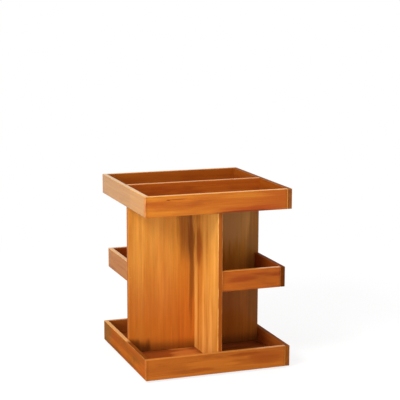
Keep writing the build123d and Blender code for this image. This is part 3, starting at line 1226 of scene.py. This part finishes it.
@dataclass(frozen=True)
class Lamp:
    """A square soft lamp that looks at the object.

    Its way is the direction to it from the object, its distance and side are in metres, and its level
    is the brightness that it gives a white surface that faces it.
    """

    name: str
    way: Triple
    distance: float
    side: float
    level: float

    def hang(self, aim: Triple) -> None:
        """Hang the lamp.

        Args:
            aim: The point that it looks at.
        """
        data = bpy.data.lights.new(self.name, "AREA")
        data.shape = "SQUARE"
        data.size = self.side
        data.energy = self.level * (pi * self.distance) ** 2
        light = bpy.data.objects.new(self.name, data)
        towards = Vector(self.way).normalized()
        turn = towards.to_track_quat("Z", "Y").to_matrix().to_4x4()
        light.matrix_world = Matrix.Translation(Vector(aim) + towards * self.distance) @ turn
        bpy.context.scene.collection.objects.link(light)
        log.info("hung the %s", self.name)


@dataclass(frozen=True)
class Studio:
    """A pale floor that fades into a white background, soft lamps and the camera.

    The floor lights the object with its floor tone, which opens to the far tone, but it is seen in
    its near tone, with light that lifts it towards white. Under the base it glows a little, to show
    the underside. An edge says where a change begins and where it is full, in millimetres from the
    middle. The sensor is in millimetres too, other lengths are in metres, and angles in degrees.
    """

    floor_half: float = 6.0
    floor_tone: float = 0.45
    far_tone: float = 0.8
    near_tone: float = 0.9
    lift: float = 1.15
    lift_share: float = 0.7
    under_light: float = 0.5
    under_edge: Span = (118.0, 112.0)
    open_edge: Span = (150.0, 1500.0)
    white_edge: Span = (450.0, 1000.0)
    world_light: float = 0.5
    lamps: tuple[Lamp, ...] = (
        Lamp("key lamp", (-0.667, -0.46, 0.587), 1.5, 0.42, 0.54),
        Lamp("fill lamp", (-0.7, -0.7, 0.08), 2.2, 0.9, 0.5),
        Lamp("back lamp", (0.66, 0.72, 0.2), 2.4, 1.0, 0.3),
    )
    aim: Triple = (0.0, 0.0, 0.14)
    eye: Triple = (-0.65246, -1.82747, 0.60375)
    yaw: float = 19.94
    pitch: float = 10.08
    roll: float = 0.18
    focal_pixels: float = 1215.56
    picture_pixels: float = 400.0
    sensor: float = 36.0
    sight: float = 100.0

    def shown(self, g: Graph, mirrored: Operand = 1.0) -> Signal:
        """How much a ray sees the white studio rather than what lights the object.

        Args:
            g: The graph that asks.
            mirrored: How much of it a mirrored ray sees.

        Returns:
            1 for what the camera sees straight or through glass, and 0 for light on the object.
        """
        camera, glossy, clear = (
            g.node("ShaderNodeLightPath", output=f"Is {kind} Ray")
            for kind in ("Camera", "Glossy", "Transmission")
        )
        return (camera + glossy * mirrored + clear).least(1.0)

    def floor_material(self) -> bpy.types.Material:
        """Make the floor's material: seen white with the object's shadow, and clear from below.

        Returns:
            The material.
        """
        material, g = new_graph("pale floor")
        x, y, _ = g.parts(g.place())
        away = g.radius(x, y)
        open_floor = away.step(*self.open_edge)
        tones = g.blend(open_floor, (self.floor_tone,) * 3, (self.far_tone,) * 3)
        covered = abs(x).most(abs(y)).step(*self.under_edge)
        plain = g.mix(covered, g.diffuse(tones), g.glow(self.under_light))
        near = g.mix(self.lift_share, g.diffuse((self.near_tone,) * 3), g.glow(self.lift))
        seen = g.mix(away.step(*self.white_edge), near, g.glow(1.0))
        above = g.mix(self.shown(g, open_floor), plain, seen)
        below = g.node("ShaderNodeNewGeometry", output="Backfacing")
        surface = g.mix(below, above, g.node("ShaderNodeBsdfTransparent"))
        g.node("ShaderNodeOutputMaterial", inputs={"Surface": surface})
        return material

    def floor(self) -> None:
        """Lay the floor."""
        mesh = bpy.data.meshes.new("floor")
        sheet = bmesh.new()
        bmesh.ops.create_grid(sheet, x_segments=1, y_segments=1, size=self.floor_half)
        sheet.to_mesh(mesh)
        sheet.free()
        mesh.materials.append(self.floor_material())
        ground = bpy.data.objects.new("floor", mesh)
        bpy.context.scene.collection.objects.link(ground)
        log.info("laid the floor")

    def world(self) -> None:
        """Surround the object with white, and light it evenly from all sides."""
        world = bpy.data.worlds.new("studio")
        world.use_nodes = True
        bpy.context.scene.world = world
        g = Graph(world.node_tree)
        light, white = (
            g.node("ShaderNodeBackground", inputs={"Color": WHITE, "Strength": strength})
            for strength in (self.world_light, 1.0)
        )
        g.node("ShaderNodeOutputWorld", inputs={"Surface": g.mix(self.shown(g), light, white)})
        log.info("lit the world")

    def camera(self) -> None:
        """Set up the camera where the photograph was taken from."""
        yaw, pitch, roll = radians(self.yaw), radians(self.pitch), radians(self.roll)
        ahead = Vector((sin(yaw) * cos(pitch), cos(yaw) * cos(pitch), -sin(pitch)))
        level = Vector((cos(yaw), -sin(yaw), 0.0))
        above = level.cross(ahead)
        right = level * cos(roll) + above * sin(roll)
        up = above * cos(roll) - level * sin(roll)
        data = bpy.data.cameras.new("camera")
        data.sensor_fit = "HORIZONTAL"
        data.sensor_width = self.sensor
        data.lens = self.focal_pixels / self.picture_pixels * self.sensor
        data.clip_end = self.sight
        camera = bpy.data.objects.new("camera", data)
        turn = Matrix((right, up, -ahead)).transposed().to_4x4()
        camera.matrix_world = Matrix.Translation(self.eye) @ turn
        bpy.context.scene.collection.objects.link(camera)
        bpy.context.scene.camera = camera
        log.info("set up the camera")

    def build(self) -> None:
        """Build the whole studio."""
        self.floor()
        self.world()
        for lamp in self.lamps:
            lamp.hang(self.aim)
        self.camera()
        bpy.context.scene.view_settings.view_transform = "Standard"


def main() -> None:
    """Dress the organizer from the base up and build the studio round it."""
    logging.basicConfig(level=logging.INFO, format="%(message)s")
    flame = Mark(-20.0, 1.5, 32.0, 6.5, RUSSET.red, 0.55)
    for part in (
        base_tray(),
        top_tray(),
        TopDivider(),
        Partitions(),
        # The right shelf's side rim has dark narrow sides: painted shade, as on the trays' right rims.
        Shelf("right_shelf", "front", 14.2, 1, RUSSET, SATIN, Flank.DARK, (flame,), end_shade=0.42),
        Shelf("left_shelf", "back", 18.6, -1, FAWN, FAINT_SATIN, Flank.RUBBED_AND_HIGHLIT),
        Turntable(),
    ):
        part.dress()
    Studio().build()


if __name__ == "__main__":
    main()
